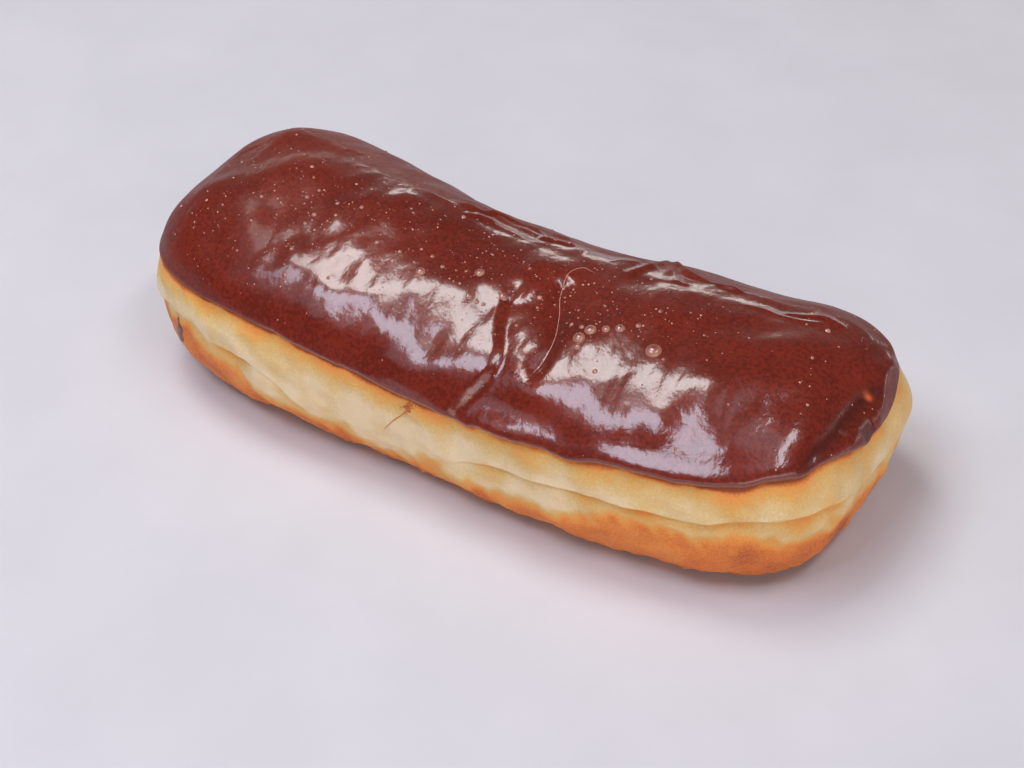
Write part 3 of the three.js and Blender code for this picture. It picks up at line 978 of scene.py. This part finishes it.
# Materials
class Shader:
    """A material's node tree, with short calls to add and link nodes."""

    def __init__(self, name):
        self.material = bpy.data.materials.new(name)
        self.material.use_nodes = True
        self.tree = self.material.node_tree
        self.surface = self.tree.nodes["Principled BSDF"]
        self.place = self.add("ShaderNodeTexCoord").outputs["Object"]

    def add(self, kind, **settings):
        node = self.tree.nodes.new(kind)
        for name, value in settings.items():
            setattr(node, name, value)
        return node

    def link(self, source, target):
        self.tree.links.new(source, target)

    def feed(self, socket, value):
        """Links a socket, or sets a constant on the target's own socket."""
        if isinstance(value, bpy.types.NodeSocket):
            self.link(value, socket)
        else:
            socket.default_value = value

    def set(self, **values):
        for name, value in values.items():
            self.feed(self.surface.inputs[name.replace("_", " ")], value)

    def noise(self, span, detail=3.0, roughness=0.55, stretch=(1, 1, 1)):
        """Noise from 0 to 1 with features about one span across, in millimetres, longer by stretch."""
        squeezed = self.add("ShaderNodeVectorMath", operation="DIVIDE")
        self.link(self.place, squeezed.inputs[0])
        squeezed.inputs[1].default_value = stretch
        node = self.add("ShaderNodeTexNoise")
        self.link(squeezed.outputs[0], node.inputs["Vector"])
        node.inputs["Scale"].default_value = 1 / (span * MM)
        node.inputs["Detail"].default_value = detail
        node.inputs["Roughness"].default_value = roughness
        return node.outputs["Fac"]

    def attribute(self, name):
        return self.add("ShaderNodeAttribute", attribute_name=name).outputs["Fac"]

    def math(self, operation, a, b):
        node = self.add("ShaderNodeMath", operation=operation)
        self.feed(node.inputs[0], a)
        self.feed(node.inputs[1], b)
        return node.outputs[0]

    def spread(self, value, low, high):
        """Maps 0 to 1 onto low to high, and beyond."""
        return self.math("ADD", self.math("MULTIPLY", value, high - low), low)

    def ramp(self, value, stops):
        node = self.add("ShaderNodeValToRGB")
        self.link(value, node.inputs["Fac"])
        elements = node.color_ramp.elements
        while len(elements) < len(stops):
            elements.new(0.5)
        for element, (position, colour) in zip(elements, stops):
            element.position = position
            element.color = (*colour, 1)
        return node.outputs["Color"]

    def mix(self, factor, a, b):
        node = self.add("ShaderNodeMix", data_type="RGBA")
        self.feed(node.inputs["Factor"], factor)
        self.feed(node.inputs["A"], a)
        self.feed(node.inputs["B"], b)
        return node.outputs["Result"]

    def bump(self, height, depth):
        """Surface normal of a height from 0 to 1 that stands for a depth in millimetres."""
        node = self.add("ShaderNodeBump")
        self.link(height, node.inputs["Height"])
        node.inputs["Distance"].default_value = depth * MM
        for socket in ("Normal", "Coat Normal"):
            self.link(node.outputs["Normal"], self.surface.inputs[socket])


def dough_material():
    shader = Shader("fried_dough")
    # Browned tone of the dough, with painted shade near the floor and below the crease
    brown_and_shade = shader.attribute("browning_and_shade")
    grain = shader.noise(span=0.5, detail=4.0, roughness=0.6)
    fibres = shader.noise(span=2.0, detail=4.0, roughness=0.6, stretch=(2, 2, 1))
    patches = shader.noise(span=9.0, detail=2.0)
    pale = shader.math("SUBTRACT", 1.0, brown_and_shade)
    half = shader.math("MULTIPLY", brown_and_shade, pale)
    specks = shader.math("MULTIPLY", half, shader.spread(grain, -1.0, 1.0))
    toned = shader.math("ADD", brown_and_shade, specks)
    toned = shader.math("ADD", toned, shader.spread(grain, -0.07, 0.07))
    toned = shader.math("ADD", toned, shader.spread(fibres, -0.08, 0.08))
    toned = shader.math("ADD", toned, shader.spread(patches, -0.17, 0.2))
    colour = shader.ramp(toned, [
        (0.0, (0.775, 0.59, 0.375)),
        (0.14, (0.70, 0.482, 0.22)),
        (0.32, (0.70, 0.38, 0.105)),
        (0.55, (0.79, 0.28, 0.052)),
        (0.80, (0.64, 0.165, 0.032)),
        (1.0, (0.33, 0.073, 0.02)),
    ])
    shader.set(Base_Color=colour, Roughness=shader.spread(grain, 0.45, 0.7))
    shader.set(Subsurface_Weight=0.25, Subsurface_Scale=0.004)
    shader.set(Subsurface_Radius=(1.0, 0.55, 0.25), Specular_IOR_Level=0.35)
    pores = shader.noise(span=0.6, detail=5.0, roughness=0.65, stretch=(1.2, 1.2, 1))
    shader.bump(pores, depth=0.2)
    return shader.material


def icing_material():
    shader = Shader("chocolate_icing")
    edge_sheen = shader.attribute("edge")
    speckle = shader.spread(shader.noise(span=0.8, detail=2.0), -1.1, 1.1)
    clouds = shader.noise(span=16.0, detail=2.0)
    body = shader.ramp(shader.math("ADD", clouds, speckle), [
        (0.3, (0.110, 0.0083, 0.0028)),
        (0.7, (0.172, 0.0143, 0.0050)),
    ])
    # Painted shade: the icing darkened to near black in the tucks
    body = shader.mix(shader.attribute("painted_tuck_shade"), body, (0.035, 0.005, 0.003, 1))
    # Painted glow: an orange spot as of light shining through the icing
    body = shader.mix(shader.attribute("painted_glow"), body, (0.62, 0.10, 0.03, 1))
    # Painted reflection: a pale lilac line along the icing's edge
    colour = shader.mix(shader.math("MULTIPLY", edge_sheen, 0.55), body, (0.30, 0.16, 0.165, 1))
    fine = shader.noise(span=1.3, roughness=0.5, stretch=(1, 1.3, 1.2))
    gloss = shader.attribute("gloss")
    roughness = shader.math("ADD", shader.spread(fine, 0.26, 0.38), shader.spread(gloss, 0.2, 0.0))
    shader.set(Base_Color=colour, Roughness=roughness)
    shader.set(Specular_IOR_Level=0.27, Specular_Tint=(1.0, 0.70, 0.64, 1))
    shader.set(Coat_Weight=gloss, Coat_Roughness=0.13, Coat_IOR=1.5)
    shader.bump(fine, depth=0.065)
    return shader.material


def toned_material(name, dark, light, roughness, coat=0.0):
    """A plain material that goes from a dark to a light colour with each shape's own tone."""
    shader = Shader(name)
    grain = shader.spread(shader.noise(span=0.5), -0.15, 0.15)
    tone = shader.math("ADD", shader.attribute("tone"), grain)
    shader.set(Base_Color=shader.ramp(tone, [(0.0, dark), (1.0, light)]), Roughness=roughness)
    shader.set(Coat_Weight=coat, Coat_Roughness=0.05)
    return shader.material


def bubble_material():
    dark = (0.17, 0.025, 0.013)
    light = (0.62, 0.26, 0.17)
    return toned_material("icing_bubble", dark, light, roughness=0.35, coat=1.0)


def film_material():
    dark = (0.30, 0.10, 0.07)
    light = (0.62, 0.34, 0.26)
    return toned_material("icing_film", dark, light, roughness=0.35)


def syrup_material():
    dark = (0.48, 0.085, 0.01)
    light = (0.62, 0.20, 0.04)
    return toned_material("icing_syrup", dark, light, roughness=0.35, coat=0.2)


def crumb_material():
    dark = (0.44, 0.10, 0.02)
    light = (0.64, 0.27, 0.065)
    return toned_material("dough_crumb", dark, light, roughness=0.6)


def dab_material():
    shader = Shader("icing_dab")
    colour = shader.ramp(shader.noise(span=1.5), [
        (0.3, (0.12, 0.04, 0.033)),
        (0.7, (0.22, 0.11, 0.095)),
    ])
    shader.set(Base_Color=colour, Roughness=0.4)
    return shader.material


def floor_material():
    shader = Shader("pale_floor")
    colour = shader.ramp(shader.noise(span=40.0), [
        (0.3, (0.61, 0.545, 0.56)),
        (0.7, (0.65, 0.58, 0.595)),
    ])
    shader.set(Base_Color=colour, Roughness=0.65)
    return shader.material


# Floor, camera and lights
def add_floor():
    bpy.ops.mesh.primitive_plane_add(size=FLOOR_SIZE, location=(0, 0, -FLOOR_DROP))
    floor = bpy.context.object
    floor.name = "floor"
    floor.data.materials.append(floor_material())


def add_camera():
    azimuth = math.radians(VIEW_AZIMUTH)
    elevation = math.radians(VIEW_ELEVATION)
    flat = math.cos(elevation)
    back = Vector((math.sin(azimuth) * flat, -math.cos(azimuth) * flat, math.sin(elevation)))
    right = Vector((math.cos(azimuth), math.sin(azimuth), 0))
    turn = Matrix.Rotation(math.radians(VIEW_ROLL), 3, back)
    axes = Matrix((turn @ right, turn @ back.cross(right), back)).transposed()
    eye = Vector((*VIEW_TARGET, 0)) * MM + back * VIEW_DISTANCE * MM
    data = bpy.data.cameras.new("camera")
    data.lens = LENS
    data.clip_start = NEAR_CLIP
    camera = bpy.data.objects.new("camera", data)
    camera.matrix_world = Matrix.Translation(eye) @ axes.to_4x4()
    bpy.context.scene.collection.objects.link(camera)
    bpy.context.scene.camera = camera


def add_softbox(name, direction, distance, size, power, colour):
    data = bpy.data.lights.new(name, "AREA")
    data.shape = "RECTANGLE"
    data.size, data.size_y = size
    data.energy = power
    data.color = colour
    light = bpy.data.objects.new(name, data)
    direction = Vector(direction).normalized()
    light.location = direction * distance
    light.rotation_euler = direction.to_track_quat("Z", "Y").to_euler()
    light.visible_camera = False
    bpy.context.scene.collection.objects.link(light)


def add_lights():
    for softbox in SOFTBOXES:
        add_softbox(*softbox)
    world = bpy.data.worlds.new("studio")
    world.use_nodes = True
    background = world.node_tree.nodes["Background"]
    background.inputs["Color"].default_value = STUDIO_COLOUR
    background.inputs["Strength"].default_value = STUDIO_STRENGTH
    bpy.context.scene.world = world


# The whole doughnut
def add_dough(bar, to_frame):
    corners, faces, brown_and_shade = make_dough(bar)
    dough = add_piece("dough_bar", to_frame(corners), faces, dough_material(), "dough")
    set_attribute(dough, "browning_and_shade", brown_and_shade)


def add_icing(bar, to_frame):
    """Adds the icing, and gives its outer face for what lies on it."""
    corners, faces, edge_sheen, tuck_shade = make_icing(bar)
    icing = add_piece("icing_coat", to_frame(corners), faces, icing_material(), "icing")
    # The edge attribute holds the painted reflection along the icing's edge
    set_attribute(icing, "edge", edge_sheen)
    set_attribute(icing, "painted_tuck_shade", tuck_shade)
    set_attribute(icing, "painted_glow", icing_painted_glow(corners))
    set_attribute(icing, "gloss", icing_gloss(corners))
    return Ground(corners, faces)


def add_doughnut():
    bar = Bar(np.arange(STATIONS) / STATIONS)
    to_frame = FrameFit(bar)
    add_dough(bar, to_frame)
    icing_face = add_icing(bar, to_frame)
    add_bubbles(icing_face, to_frame)
    add_crack(icing_face, to_frame)
    add_streak(to_frame)
    add_crumbs(to_frame)
    add_dab(bar.perimeter, to_frame)


add_camera()
add_lights()
add_floor()
add_doughnut()

bpy.context.scene.view_settings.view_transform = "Standard"
